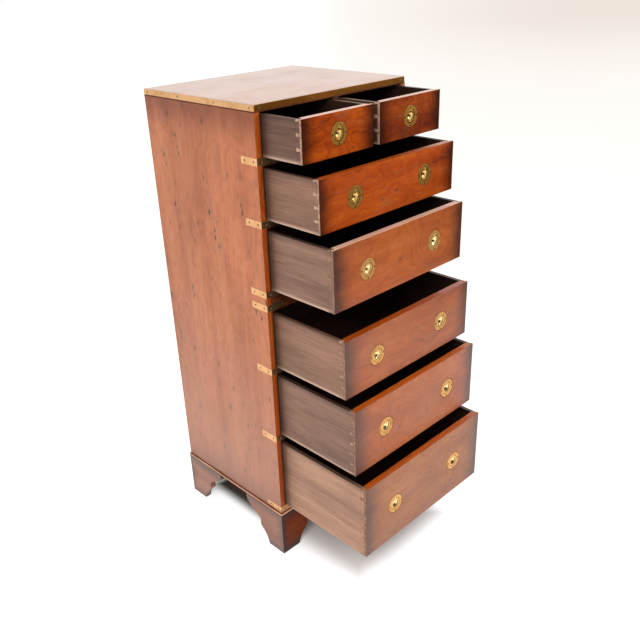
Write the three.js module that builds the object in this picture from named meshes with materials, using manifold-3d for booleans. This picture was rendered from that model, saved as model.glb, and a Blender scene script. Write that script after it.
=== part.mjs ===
import * as THREE from 'three';
import { mergeVertices } from 'three/addons/utils/BufferGeometryUtils.js';
import Module from 'manifold-3d';

// A tall campaign chest of seven drawers, two short over five long, in millimetres.
// +Z is up and the drawers open along -Y. The drawers are modelled part open, each row
// further out than the one above, and the origin is on the floor under the middle of
// the open chest.

const wasm = await Module();
wasm.setup();

// Case
const caseWidth = 457;
const caseDepth = 381;
const sideThickness = 16;
const topThickness = 15;
const shelfThickness = 19;
const middleRailHeight = 50.5;
const middleRailDepth = 22;
const dividerThickness = 16;
const bottomThickness = 14.5;
const backThickness = 6;
const backRebate = 8;
const housingDepth = 4;
const housingSetback = 14;
const glueGap = 0.1;

// How far a cutting or joining solid runs past the face that it meets
const overrun = 1;

// How many straight steps each curve of an outline is drawn in
const curveSegments = 5;

// Corners of a mesh that are closer than this are one corner
const weldDistance = 1e-4;

// Rows of drawers, from the top down; the middle rail is under the last of the upper rows
const upperRowCount = 3;
const openingHeight1 = 88.5;
const openingHeight2 = 112;
const openingHeight3 = 138.5;
const openingHeight4 = 140;
const openingHeight5 = 163;
const openingHeight6 = 191;

// The gap left over each row's drawer fronts
const frontTopGap1 = 2;
const frontTopGap2 = 2;
const frontTopGap3 = 3.5;
const frontTopGap4 = 4;
const frontTopGap5 = 1.5;
const frontTopGap6 = 4.5;

// How far out each row stands
const standOut1 = 114;
const standOut2 = 155.5;
const standOut3 = 188;
const standOut4 = 213.5;
const standOut5 = 239;
const standOut6 = 268;

// Base
const footHeight = 119;
const mouldingHeight = 10;
const mouldingProjection = 5.5;
const mouldingQuirk = 2;
const noseSteps = 6;
const footProjection = 4;
const footBoard = 17;
const footFloorWidth = 56;
const footCuspReach = 86;
const footCuspLow = 46;
const footCuspHigh = 64;
const footReach = 138;
const footArchCover = 10;
const footHollowReach = 61;
const footHollowRise = 27;
const archStartShare = 0.23;
const archEndShare = 0.9;
const archRiseShare = 0.44;
const footRearReach = 92;
const footBlock = 24;
const footBlockRise = 6;

// Brass on the case
const edgingHeight = 12.5;
const edgingThickness = 3;
const edgingCorner = 4;
const strapHeight = 16;
const strapLowestHeight = 13.5;
const strapThickness = 2;
const strapArm = 50;
const middleStrapRise = 2.5;
const inlayGap = 0.15;

// Drawers
const drawerLength = 352;
const frontThickness = 16;
const frontLap = 6;
const liningThickness = 9.5;
const liningTopStep = 1.5;
const backTopStep = 12;
const drawerBottomThickness = 5;
const drawerBottomLift = 8;
const drawerBottomGroove = 4.5;
const drawerSideGap = 0.75;
const drawerRestGap = 0.5;

// Ring pulls: depths are measured into the drawer front from its face
const pullSides = 20;
const plateRadius = 23;
const flangeThickness = 2.4;
const recessRadius = 14.5;
const recessDepth = 2.8;
const dishRadius = 9.6;
const dishDepth = 7.2;
const dishSteps = 3;
const cupRadius = 18.2;
const cupDepth = 4.6;
const cupFloorRadius = 11.5;
const cupFloorDepth = 8.8;
const pocketGap = 0.3;
const ringOuterRadius = 13.7;
const ringInnerRadius = 10;
const ringFaceDepth = 0.2;
const ringBackDepth = 2.4;
const ringEdge = 0.7;
const hingeRise = 15.4;
const hingeDepth = 1.4;
const barrelRadius = 1.2;
const barrelLength = 5.6;
const barrelSides = 10;
const lugWidth = 4.8;
const slotWidth = 6.2;
const slotTop = 17.4;
const slotDepth = 3;

// Finishes
function finish(color, roughness, metalness) {
  return new THREE.MeshStandardMaterial({ color, roughness, metalness });
}

const yew = finish(0xb5653a, 0.35, 0);
const yewSide = finish(0xc08a70, 0.35, 0);
const feetWood = finish(0x7a4a34, 0.4, 0);
const drawerWood = finish(0xa85a30, 0.4, 0);
const backWood = finish(0x8a6a4c, 0.7, 0);
const brass = finish(0xc9a062, 0.3, 1);
const ringBrass = finish(0xd8b070, 0.25, 1);

// Heights that follow from the sizes above
const carcassBottom = footHeight + mouldingHeight;
const floorTop = carcassBottom + bottomThickness;
const footArchHeight = footHeight - footArchCover;
const sumOf = (list) => list.reduce((total, value) => total + value, 0);
const openingHeights = [
  openingHeight1,
  openingHeight2,
  openingHeight3,
  openingHeight4,
  openingHeight5,
  openingHeight6,
];
const frontTopGaps = [
  frontTopGap1,
  frontTopGap2,
  frontTopGap3,
  frontTopGap4,
  frontTopGap5,
  frontTopGap6,
];
const standOuts = [standOut1, standOut2, standOut3, standOut4, standOut5, standOut6];
const rows = [...openingHeights.keys()];
const splitRow = rows[upperRowCount - 1];
const shelfHeights = rows.slice(0, -1).map((row) => (
  row === splitRow ? middleRailHeight : shelfThickness
));
const ceiling = floorTop + sumOf(openingHeights) + sumOf(shelfHeights);
const totalHeight = ceiling + topThickness;

// The surface that each row of drawers slides on, from the top row down
const restHeights = openingHeights.map((height, row) => {
  const openingsAbove = sumOf(openingHeights.slice(0, row + 1));
  const shelvesAbove = sumOf(shelfHeights.slice(0, row));
  return ceiling - openingsAbove - shelvesAbove;
});
const shelfTops = restHeights.slice(0, -1);

const halfWidth = caseWidth / 2;
const halfDepth = caseDepth / 2;
const halfInside = halfWidth - sideThickness;
const backFace = halfDepth - backThickness;

// Solids: a closed three.js geometry in, joined and cut, and a geometry out
function solid(geometry) {
  const bare = geometry.clone();
  bare.deleteAttribute('normal');
  bare.deleteAttribute('uv');
  const merged = mergeVertices(bare, weldDistance);
  const vertProperties = Float32Array.from(merged.attributes.position.array);
  const triVerts = Uint32Array.from(merged.index.array);
  return new wasm.Manifold(new wasm.Mesh({ numProp: 3, vertProperties, triVerts }));
}

function geometryOf(manifold) {
  const mesh = manifold.getMesh();
  const geometry = new THREE.BufferGeometry();
  geometry.setAttribute('position', new THREE.BufferAttribute(mesh.vertProperties, 3));
  geometry.setIndex(new THREE.BufferAttribute(mesh.triVerts, 1));
  geometry.computeVertexNormals();
  return geometry;
}

function boxGeometry([x0, x1], [y0, y1], [z0, z1]) {
  const geometry = new THREE.BoxGeometry(x1 - x0, y1 - y0, z1 - z0);
  return geometry.translate((x0 + x1) / 2, (y0 + y1) / 2, (z0 + z1) / 2);
}

const box = (xs, ys, zs) => solid(boxGeometry(xs, ys, zs));
const join = (parts) => parts.reduce((whole, part) => whole.add(part));
const cut = (whole, parts) => parts.reduce((left, part) => left.subtract(part), whole);

// A plan outline raised from one height to another
function raised(outline, z0, z1) {
  const geometry = new THREE.ExtrudeGeometry(outline, { depth: z1 - z0, bevelEnabled: false, curveSegments });
  return geometry.translate(0, 0, z0);
}

function polygon(points) {
  return new THREE.Shape(points.map(([x, y]) => new THREE.Vector2(x, y)));
}

const part = (name, geometry, material) => {
  const mesh = new THREE.Mesh(geometry, material);
  mesh.name = name;
  return mesh;
};

// Corner straps: where each one's top is, from the top of the case down
const middleStrapTop = shelfTops[splitRow] - middleRailHeight + middleStrapRise + strapHeight;
const strapTops = [
  ...shelfTops.slice(0, upperRowCount),
  middleStrapTop,
  ...shelfTops.slice(upperRowCount),
];
const straps = [
  ...strapTops.map((top) => ({ top, height: strapHeight })),
  { top: floorTop, height: strapLowestHeight },
];

// The inlay that a strap lies in, on one side of the case: side is -1 left or 1 right
function strapInlay(side, strap) {
  const depth = strapThickness + inlayGap;
  const reach = strapArm + inlayGap;
  const zs = [strap.top - strap.height - inlayGap, strap.top + inlayGap];
  const outside = side * (halfWidth + inlayGap);
  const onSide = [outside, side * (halfWidth - depth)].sort((a, b) => a - b);
  const onFront = [outside, side * (halfWidth - reach)].sort((a, b) => a - b);
  const front = -halfDepth - inlayGap;
  return join([
    box(onSide, [front, -halfDepth + reach], zs),
    box(onFront, [front, -halfDepth + depth], zs),
  ]);
}

const inlays = [-1, 1].flatMap((side) => straps.map((strap) => strapInlay(side, strap)));

// An L-shaped brass strap in plan, lying flush round the front corner
function strapGeometry(side, height) {
  const corner = [side * halfWidth, -halfDepth];
  const along = (x, y) => [corner[0] - side * x, corner[1] + y];
  const outline = polygon([
    along(0, 0),
    along(strapArm, 0),
    along(strapArm, strapThickness),
    along(strapThickness, strapThickness),
    along(strapThickness, strapArm),
    along(0, strapArm),
  ]);
  return raised(outline, 0, height);
}

// A side panel with its front inlays, its stopped housings and the rebate for the back
function sidePanel(side) {
  const span = (outer, inner) => [side * outer, side * inner].sort((a, b) => a - b);
  const zs = [carcassBottom + glueGap, ceiling - glueGap];
  const panel = box(span(halfWidth, halfInside), [-halfDepth, halfDepth], zs);
  const housings = shelfTops.map((top) => box(
    span(halfInside - overrun, halfInside + housingDepth + glueGap),
    [-halfDepth + housingSetback - glueGap, backFace],
    [top - shelfThickness - glueGap, top + glueGap],
  ));
  const rebate = box(
    span(halfInside - overrun, halfInside + backRebate + glueGap),
    [backFace - glueGap, halfDepth + overrun],
    [carcassBottom - overrun, ceiling + overrun],
  );
  return geometryOf(cut(panel, [...inlays, ...housings, rebate]));
}

// A shelf runs from front to back, flush at the front and housed in the sides behind it
function shelfSolid(top, thickness) {
  const inside = halfInside - glueGap;
  const housed = halfInside + housingDepth;
  const shoulder = -halfDepth + housingSetback;
  const rear = backFace - glueGap * 2;
  const outline = polygon([
    [-inside, -halfDepth],
    [inside, -halfDepth],
    [inside, shoulder],
    [housed, shoulder],
    [housed, rear],
    [-housed, rear],
    [-housed, shoulder],
    [-inside, shoulder],
  ]);
  return solid(raised(outline, top - thickness, top));
}

function shelf(row) {
  const top = shelfTops[row];
  const pieces = [shelfSolid(top, shelfThickness)];
  if (row === 0) {
    const half = dividerThickness / 2;
    const zs = [top - overrun, ceiling - glueGap];
    pieces.push(box([-half, half], [-halfDepth, backFace - glueGap * 2], zs));
  }
  if (row === splitRow) {
    const inside = halfInside - glueGap;
    const ys = [-halfDepth, -halfDepth + middleRailDepth];
    pieces.push(box([-inside, inside], ys, [top - middleRailHeight, top - shelfThickness + overrun]));
  }
  return geometryOf(cut(join(pieces), inlays));
}

// The top board is rebated along its front and ends for the brass edging
function topBoard() {
  const inset = edgingThickness + inlayGap;
  const lip = totalHeight - edgingHeight - inlayGap;
  const lower = box([-halfWidth, halfWidth], [-halfDepth, halfDepth], [ceiling, lip]);
  const upper = box(
    [-halfWidth + inset, halfWidth - inset],
    [-halfDepth + inset, halfDepth],
    [lip - overrun, totalHeight],
  );
  return geometryOf(lower.add(upper));
}

// Brass edging round the front and ends of the top, with its outer corners eased
function topEdging() {
  const w = halfWidth;
  const d = halfDepth;
  const outline = new THREE.Shape();
  outline.moveTo(-w, d);
  outline.lineTo(-w, -d + edgingCorner);
  outline.quadraticCurveTo(-w, -d, -w + edgingCorner, -d);
  outline.lineTo(w - edgingCorner, -d);
  outline.quadraticCurveTo(w, -d, w, -d + edgingCorner);
  outline.lineTo(w, d);
  outline.lineTo(w - edgingThickness, d);
  outline.lineTo(w - edgingThickness, -d + edgingThickness);
  outline.lineTo(-w + edgingThickness, -d + edgingThickness);
  outline.lineTo(-w + edgingThickness, d);
  outline.closePath();
  return raised(outline, totalHeight - edgingHeight, totalHeight);
}

function backPanel() {
  const half = halfInside + backRebate;
  return boxGeometry([-half, half], [backFace, halfDepth], [carcassBottom + glueGap, ceiling - glueGap]);
}

// The base: a board with its front and ends moulded and mitred, and the floor of the case on it
function baseBoard() {
  const reachX = halfWidth + mouldingProjection;
  const reachY = halfDepth + mouldingProjection;
  const nose = (mouldingHeight - mouldingQuirk) / 2;
  const arc = (centre, sign) => Array.from({ length: noseSteps + 1 }, (_, step) => {
    const angle = -Math.PI / 2 + (Math.PI * step) / noseSteps;
    return [centre + sign * nose * Math.cos(angle), nose + nose * Math.sin(angle)];
  });
  const across = polygon([
    ...arc(reachX - nose, 1),
    [halfWidth, mouldingHeight - mouldingQuirk],
    [halfWidth, mouldingHeight],
    [-halfWidth, mouldingHeight],
    [-halfWidth, mouldingHeight - mouldingQuirk],
    ...arc(-reachX + nose, -1).reverse(),
  ]);
  const along = polygon([
    ...arc(-reachY + nose, -1).reverse(),
    [halfDepth, 0],
    [halfDepth, mouldingHeight],
    [-halfDepth, mouldingHeight],
    [-halfDepth, mouldingHeight - mouldingQuirk],
  ]);
  const acrossBar = new THREE.ExtrudeGeometry(across, { depth: 2 * reachY, bevelEnabled: false });
  acrossBar.rotateX(Math.PI / 2).translate(0, reachY, footHeight);
  const alongBar = new THREE.ExtrudeGeometry(along, { depth: 2 * reachX, bevelEnabled: false });
  alongBar.rotateX(Math.PI / 2).rotateZ(Math.PI / 2).translate(-reachX, 0, footHeight);
  const moulded = solid(acrossBar).intersect(solid(alongBar));
  const inside = halfInside - glueGap;
  const zs = [carcassBottom - overrun, floorTop];
  const floor = box([-inside, inside], [-halfDepth, backFace - glueGap * 2], zs);
  return geometryOf(cut(moulded.add(floor), inlays));
}

// A bracket foot's shaped wing, seen square on: x runs from the corner along the wing
function shapedWing() {
  const span = footReach - footCuspReach;
  const rise = footArchHeight - footCuspHigh;
  const shoulder = footCuspHigh + rise * archRiseShare;
  const outline = new THREE.Shape();
  outline.moveTo(0, 0);
  outline.lineTo(footFloorWidth, 0);
  outline.quadraticCurveTo(footHollowReach, footHollowRise, footCuspReach, footCuspLow);
  outline.lineTo(footCuspReach, footCuspHigh);
  outline.bezierCurveTo(
    footCuspReach + span * archStartShare,
    shoulder,
    footCuspReach + span * archEndShare,
    shoulder,
    footReach,
    footArchHeight,
  );
  outline.lineTo(footReach, footHeight - glueGap);
  outline.lineTo(0, footHeight - glueGap);
  outline.closePath();
  return outline;
}

// The plain wing that the rear feet have across the back
function plainWing() {
  const top = footHeight - glueGap;
  return polygon([[0, 0], [footFloorWidth, 0], [footRearReach, top], [0, top]]);
}

// A wing stands along X with its outer face at y = 0
function wingSolid(outline) {
  const board = { depth: footBoard, bevelEnabled: false, curveSegments };
  const geometry = new THREE.ExtrudeGeometry(outline, board);
  return solid(geometry.rotateX(Math.PI / 2).translate(0, footBoard, 0));
}

// A foot is two mitred wings glued round a corner block: side is -1 left or 1 right, and
// end is -1 front or 1 rear
function foot(side, end) {
  const endWing = wingSolid(end < 0 ? shapedWing() : plainWing());
  const sideWing = wingSolid(shapedWing()).rotate([0, 0, 90]).scale([-1, 1, 1]);
  const inner = [footBoard - overrun, footBoard + footBlock];
  const block = box(inner, inner, [footBlockRise, footHeight - glueGap]);
  const corner = join([endWing, sideWing, block]);
  const x = side * (halfWidth + footProjection);
  const y = end < 0 ? -halfDepth - footProjection : halfDepth;
  return geometryOf(corner.scale([-side, -end, 1]).translate([x, y, 0]));
}

// Places a turned profile of [radius, depth] points with its axis running into the drawer front
function turned(points) {
  const profile = points.map(([radius, depth]) => new THREE.Vector2(radius, depth));
  return solid(new THREE.LatheGeometry([...profile, profile[0]], pullSides));
}

// The plate of a ring pull: a flange, a recess for the ring and a dish for a fingertip
function pullPlate() {
  const dish = Array.from({ length: dishSteps + 1 }, (_, step) => {
    const radius = dishRadius * (1 - step / dishSteps);
    const share = 1 - (radius / dishRadius) ** 2;
    return [radius, recessDepth + (dishDepth - recessDepth) * share];
  });
  const plate = turned([
    ...dish.reverse(),
    [recessRadius, recessDepth],
    [recessRadius, 0],
    [plateRadius, 0],
    [plateRadius, flangeThickness],
    [cupRadius, flangeThickness],
    [cupRadius, cupDepth],
    [cupFloorRadius, cupFloorDepth],
    [0, cupFloorDepth],
  ]);
  const slot = box([-slotWidth / 2, slotWidth / 2], [-overrun, slotDepth], [recessRadius - overrun, slotTop]);
  return geometryOf(plate.subtract(slot));
}

// The ring with the lug and barrel that it swings on, about the barrel's own axis
function pullRing() {
  const ring = turned([
    [ringInnerRadius, ringFaceDepth + ringEdge],
    [ringInnerRadius + ringEdge, ringFaceDepth],
    [ringOuterRadius - ringEdge, ringFaceDepth],
    [ringOuterRadius, ringFaceDepth + ringEdge],
    [ringOuterRadius, ringBackDepth],
    [ringInnerRadius, ringBackDepth],
  ]);
  const halfLug = lugWidth / 2;
  const lugFoot = ringOuterRadius - overrun;
  const lug = box([-halfLug, halfLug], [ringFaceDepth, ringBackDepth], [lugFoot, hingeRise]);
  const barrel = new THREE.CylinderGeometry(barrelRadius, barrelRadius, barrelLength, barrelSides);
  barrel.rotateZ(Math.PI / 2).translate(0, hingeDepth, hingeRise);
  return geometryOf(join([ring, lug, solid(barrel)]).translate([0, -hingeDepth, -hingeRise]));
}

// The stepped pocket bored in a drawer front for a pull
function pullPocket(x, z) {
  const flange = plateRadius + pocketGap;
  const cup = cupRadius + pocketGap;
  const pocket = turned([
    [0, -overrun],
    [flange, -overrun],
    [flange, flangeThickness + pocketGap],
    [cup, flangeThickness + pocketGap],
    [cup, cupFloorDepth + pocketGap],
    [0, cupFloorDepth + pocketGap],
  ]);
  return pocket.translate([x, 0, z]);
}

// A drawer: the front with its linings lapped into it, the back and the raised bottom. Its
// origin is at the middle of the front's lower edge, on its face.
function drawerGeometry(width, height, pullPlaces) {
  const half = width / 2;
  const inner = half - liningThickness;
  const liningTop = height - liningTopStep;
  const groove = half - drawerBottomGroove;
  const backRise = [drawerBottomLift, height - backTopStep];
  const drawer = join([
    box([-half, half], [0, frontThickness], [0, height]),
    box([-half, -inner], [frontLap, drawerLength], [0, liningTop]),
    box([inner, half], [frontLap, drawerLength], [0, liningTop]),
    box([-groove, groove], [drawerLength - liningThickness, drawerLength], backRise),
    box(
      [-groove, groove],
      [frontThickness - drawerBottomGroove, drawerLength - overrun],
      [drawerBottomLift, drawerBottomLift + drawerBottomThickness],
    ),
  ]);
  return geometryOf(cut(drawer, pullPlaces.map((x) => pullPocket(x, height / 2))));
}

// The drawers of each row: how wide they are, where they stand and where their pulls are
const wideWidth = halfInside * 2 - drawerSideGap * 2;
const shortWidth = halfInside - dividerThickness / 2 - drawerSideGap * 2;
const shortCentre = (halfInside + dividerThickness / 2) / 2;
const sides = { left: -1, right: 1 };
const wideDrawers = rows.slice(1).map((row) => ({
  name: `drawer_${row + 1}`,
  row,
  width: wideWidth,
  x: 0,
  pulls: { left: -shortCentre, right: shortCentre },
}));
const shortDrawers = Object.entries(sides).map(([end, side]) => ({
  name: `drawer_1_${end}`,
  row: 0,
  width: shortWidth,
  x: side * shortCentre,
  pulls: { middle: 0 },
}));

const plateShape = pullPlate();
const ringShape = pullRing();

function drawerGroup({ name, row, width, x, pulls }) {
  const height = openingHeights[row] - drawerRestGap - frontTopGaps[row];
  const group = new THREE.Group();
  group.position.set(x, -halfDepth - standOuts[row], restHeights[row] + drawerRestGap);
  group.add(part(name, drawerGeometry(width, height, Object.values(pulls)), drawerWood));
  for (const [end, pullX] of Object.entries(pulls)) {
    const suffix = end === 'middle' ? '' : `_${end}`;
    const plate = part(`${name}_pull_plate${suffix}`, plateShape, brass);
    plate.position.set(pullX, 0, height / 2);
    const ring = part(`${name}_pull_ring${suffix}`, ringShape, ringBrass);
    ring.position.set(pullX, hingeDepth, height / 2 + hingeRise);
    group.add(plate, ring);
  }
  return group;
}

const chest = new THREE.Group();

for (const [end, side] of Object.entries(sides)) {
  chest.add(part(`side_panel_${end}`, sidePanel(side), yewSide));
  chest.add(part(`foot_front_${end}`, foot(side, -1), feetWood));
  chest.add(part(`foot_rear_${end}`, foot(side, 1), feetWood));
  straps.forEach((strap, index) => {
    const mesh = part(`strap_${index + 1}_${end}`, strapGeometry(side, strap.height), brass);
    mesh.position.z = strap.top - strap.height;
    chest.add(mesh);
  });
}
chest.add(part('back_panel', backPanel(), backWood));
chest.add(part('top_board', topBoard(), yew));
chest.add(part('top_edging', topEdging(), brass));
chest.add(part('base_board', baseBoard(), feetWood));
for (const row of shelfTops.keys()) {
  chest.add(part(`shelf_${row + 1}`, shelf(row), yew));
}
for (const drawer of [...shortDrawers, ...wideDrawers]) {
  chest.add(drawerGroup(drawer));
}

// The lowest drawer stands furthest out, so the middle of the open chest lies forward of the case
chest.position.y = Math.max(...standOuts) / 2;

const campaignChest = new THREE.Group();
campaignChest.add(chest);

export default campaignChest;
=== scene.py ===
"""A campaign chest of seven drawers, dressed over its CAD frame. Lengths are in metres."""

import math
import random

import bmesh
import bpy
from mathutils import Matrix, Vector


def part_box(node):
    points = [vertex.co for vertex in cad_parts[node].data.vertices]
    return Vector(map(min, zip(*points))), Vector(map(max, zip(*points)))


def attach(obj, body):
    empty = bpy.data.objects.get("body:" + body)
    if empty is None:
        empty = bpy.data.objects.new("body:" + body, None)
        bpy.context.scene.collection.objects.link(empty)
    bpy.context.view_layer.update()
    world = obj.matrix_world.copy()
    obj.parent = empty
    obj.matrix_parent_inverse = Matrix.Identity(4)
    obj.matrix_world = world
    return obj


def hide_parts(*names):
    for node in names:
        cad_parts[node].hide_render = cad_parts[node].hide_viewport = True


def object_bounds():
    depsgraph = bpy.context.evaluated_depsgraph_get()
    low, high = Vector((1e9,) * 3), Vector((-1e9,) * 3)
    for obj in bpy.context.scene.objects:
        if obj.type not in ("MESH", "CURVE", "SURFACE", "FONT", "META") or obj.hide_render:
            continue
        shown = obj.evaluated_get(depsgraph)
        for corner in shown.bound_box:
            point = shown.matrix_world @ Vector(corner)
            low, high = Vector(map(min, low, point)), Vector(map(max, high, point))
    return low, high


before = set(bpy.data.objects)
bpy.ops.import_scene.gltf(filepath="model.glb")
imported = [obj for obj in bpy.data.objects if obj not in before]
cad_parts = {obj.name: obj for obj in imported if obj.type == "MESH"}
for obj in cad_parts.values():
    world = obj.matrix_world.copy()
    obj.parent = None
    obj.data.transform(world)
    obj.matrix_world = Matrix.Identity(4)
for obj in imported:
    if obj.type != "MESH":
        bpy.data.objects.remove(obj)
cad_box = [list(corner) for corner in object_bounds()]

MM = 0.001
chance = random.Random(11)

# Sizes that the dressed pieces share with the solids
LINING = 9.5 * MM
FRONT = 16 * MM
LAP = 6 * MM
LINING_TOP_STEP = 1.5 * MM
BACK_TOP_STEP = 12 * MM
BOTTOM_LIFT = 8 * MM
BOTTOM_THICKNESS = 5 * MM
BOTTOM_GROOVE = 4.5 * MM
DRAWER_PLAY = 0.8 * MM
PLATE_RADIUS = 23 * MM
PULL_FLANGE = 2.4 * MM
PLATE_SHADOW = 1.0 * MM
DISH_RADIUS = 9.6 * MM
RECESS_RADIUS = 14.5 * MM
PULL_CUP_RADIUS = 18.2 * MM
PULL_CUP_DEPTH = 8.8 * MM
POCKET_GAP = 0.3 * MM
HINGE_RISE = 15.4 * MM
HINGE_DEPTH = 1.4 * MM
PULL_OFFSET = 110.25 * MM
FOOT_BOARD = 17 * MM
FOOT_BLOCK = 24 * MM
FOOT_BLOCK_RISE = 6 * MM
EDGING_HEIGHT = 12.5 * MM

WIDE_DRAWERS = ["drawer_2", "drawer_3", "drawer_4", "drawer_5", "drawer_6"]
SHORT_DRAWERS = ["drawer_1_left", "drawer_1_right"]

# Which look each part of a drawer has, first the usual one and then where a drawer differs.
# Where a drawer differs, its looks are lighter or darker copies of the same timber and brass:
# painted light and shade for how light falls on its row.
USUAL_LOOKS = {"front": "front", "edge": "edge", "top": "rail", "end": "front_end", "pin": "worn_pin",
               "lining": "lining", "pull": ""}
SHORT_LOOKS = {"front": "top_front", "edge": "pale_edge", "top": "pale_edge", "end": "pale_end",
               "pin": "pin", "lining": "dark_lining", "pull": "shaded_"}
OWN_LOOKS = {
    "drawer_1_left": SHORT_LOOKS,
    "drawer_1_right": {**SHORT_LOOKS, "front": "short_right_front"},
    "drawer_2": {"front": "upper_front", "end": "pale_end", "pin": "pin", "pull": "shaded_"},
    "drawer_3": {"front": "third_front", "edge": "pale_edge", "top": "pale_edge", "end": "dark_end",
                 "pin": "dark_end", "lining": "dark_lining"},
    "drawer_4": {},
    "drawer_5": {"lining": "dark_lining"},
    "drawer_6": {"front": "lowest_front", "lining": "pale_lining"},
}


# Camera, at the photograph's viewpoint

CAMERA_PLACE = (-1.1653, -1.1931, 1.3628)
CAMERA_RIGHT = (0.70887, -0.70455, -0.03323)
CAMERA_AHEAD = (0.62502, 0.64929, -0.43333)
CAMERA_LENS = 41.97


def add_camera():
    camera = bpy.data.cameras.new("photo_camera")
    camera.lens = CAMERA_LENS
    camera.sensor_width = 36
    camera.clip_start = 0.05
    holder = bpy.data.objects.new("photo_camera", camera)
    bpy.context.scene.collection.objects.link(holder)
    right = Vector(CAMERA_RIGHT).normalized()
    ahead = Vector(CAMERA_AHEAD).normalized()
    up = right.cross(ahead)
    turn = Matrix((right, up, -ahead)).transposed().to_4x4()
    holder.matrix_world = Matrix.Translation(CAMERA_PLACE) @ turn
    bpy.context.scene.camera = holder


# Materials

PIP_HALO = "80604c"
PIP_HEART = "44200e"
EDGE_LINE = "200e06"
# A pale band along a drawer side's lower edge: wear with a painted highlight
WORN_HIGHLIGHT_COLOUR = "e0bca4"
RUNNER_REACH = 12 * MM
# A painted reflection of the floor, paler towards the bottom of a board
FLOOR_SHEEN_COLOUR = "ba907e"
# The colour of the painted shade in corners near other pieces
CORNER_SHADE_COLOUR = "1e120c"
CORNER_REACH = 60 * MM
RUBBED = "d0a88c"
FIBRE_DEPTH = 0.4 * MM
BRUSH_DEPTH = 0.3 * MM


def paint(code):
    """A colour written as RRGGBB, as a linear one."""
    channels = [int(code[place:place + 2], 16) / 255 for place in (0, 2, 4)]
    linear = [c / 12.92 if c <= 0.04045 else ((c + 0.055) / 1.055) ** 2.4 for c in channels]
    return (*linear, 1.0)


class Shader:
    """A node material, added to one node at a time. An input is a socket or a value."""

    def __init__(self, name):
        self.material = bpy.data.materials.new(name)
        self.material.use_nodes = True
        self.tree = self.material.node_tree
        self.surface = self.tree.nodes["Principled BSDF"]

    def fill(self, socket, value):
        if isinstance(value, bpy.types.NodeSocket):
            self.tree.links.new(value, socket)
        else:
            socket.default_value = value

    def add(self, kind, inputs, output=0, **settings):
        node = self.tree.nodes.new("ShaderNode" + kind)
        for key, value in settings.items():
            setattr(node, key, value)
        for key, value in inputs.items():
            self.fill(node.inputs[key], value)
        return node.outputs[output]

    def attribute(self, name):
        return self.add("Attribute", {}, "Vector", attribute_name=name)

    def stretch(self, vector, scale, shift=(0, 0, 0)):
        return self.add("Mapping", {"Vector": vector, "Scale": scale, "Location": shift})

    def noise(self, vector, scale=1.0, detail=3.0, roughness=0.55):
        inputs = {"Vector": vector, "Scale": scale, "Detail": detail, "Roughness": roughness}
        return self.add("TexNoise", inputs, "Fac")

    def math(self, operation, first, second=0.0, third=0.0):
        inputs = {0: first, 1: second, 2: third}
        return self.add("Math", inputs, operation=operation)

    def remap(self, value, low, high, to_low=0.0, to_high=1.0):
        inputs = {
            "Value": value,
            "From Min": low,
            "From Max": high,
            "To Min": to_low,
            "To Max": to_high,
        }
        return self.add("MapRange", inputs, interpolation_type="SMOOTHSTEP")

    def mix(self, share, first, second, blend="MIX"):
        inputs = {0: share, 6: first, 7: second}
        return self.add("Mix", inputs, 2, data_type="RGBA", blend_type=blend)

    def ramp(self, value, stops):
        socket = self.add("ValToRGB", {"Fac": value})
        elements = socket.node.color_ramp.elements
        while len(elements) < len(stops):
            elements.new(0.5)
        for element, (place, colour) in zip(elements, stops):
            element.position = place
            element.color = colour
        return socket

    def bump(self, height, strength, distance):
        inputs = {"Height": height, "Strength": strength, "Distance": distance}
        self.fill(self.surface.inputs["Normal"], self.add("Bump", inputs))

    def finish(self, **values):
        for key, value in values.items():
            self.fill(self.surface.inputs[key.replace("_", " ")], value)
        return self.material


def edge_shade(s, reaches, wobble, only_side=0):
    """1 at the rim of a board's face and 0 further in than the reach given for each axis.

    With a side of 1 or -1, only the end of each axis on that side counts.
    """
    if only_side:
        sides = (only_side, only_side, only_side)
        size = s.add("VectorMath", {0: s.attribute("place"), 1: sides}, operation="MULTIPLY")
    else:
        size = s.add("VectorMath", {0: s.attribute("place")}, operation="ABSOLUTE")
    inside = s.add("VectorMath", {0: s.attribute("half"), 1: size}, operation="SUBTRACT")
    parts = s.add("SeparateXYZ", {0: inside}).node.outputs
    near = 1.0
    for axis, reach in reaches.items():
        near = s.math("MINIMUM", near, s.math("DIVIDE", parts[axis], reach))
    near = s.math("ADD", near, s.math("MULTIPLY_ADD", wobble, 0.4, -0.2))
    return s.math("POWER", s.remap(near, 0.0, 1.0, 1.0, 0.0), 2.0)


def add_pips(s, colour, grain, bent, strength):
    """The small dark knots of yew, in two sizes, with a greyish ring round each and mostly in groups."""
    edge = s.noise(s.stretch(grain, (160, 260, 260)), detail=2.0)
    gathering = s.noise(s.stretch(grain, (9, 20, 20), (2, 6, 4)))
    for scale, radius, least in ((26.0, 0.12, 0.46), (66.0, 0.22, 0.53)):
        crowd = s.remap(gathering, least, least + 0.05, 0.1, 1.0)
        cells = s.add("TexVoronoi", {"Vector": s.stretch(bent, (0.4, 1, 1)), "Scale": scale}, "Distance")
        ragged = s.math("MULTIPLY_ADD", edge, radius * 0.9, s.math("SUBTRACT", cells, radius * 0.45))
        halo = s.remap(ragged, radius * 0.8, radius * 3, 0.25 * strength, 0.0)
        colour = s.mix(s.math("MULTIPLY", halo, crowd), colour, paint(PIP_HALO))
        heart = s.remap(ragged, radius * 0.35, radius, strength, 0.0)
        colour = s.mix(s.math("MULTIPLY", heart, crowd), colour, paint(PIP_HEART))
    return colour


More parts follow.
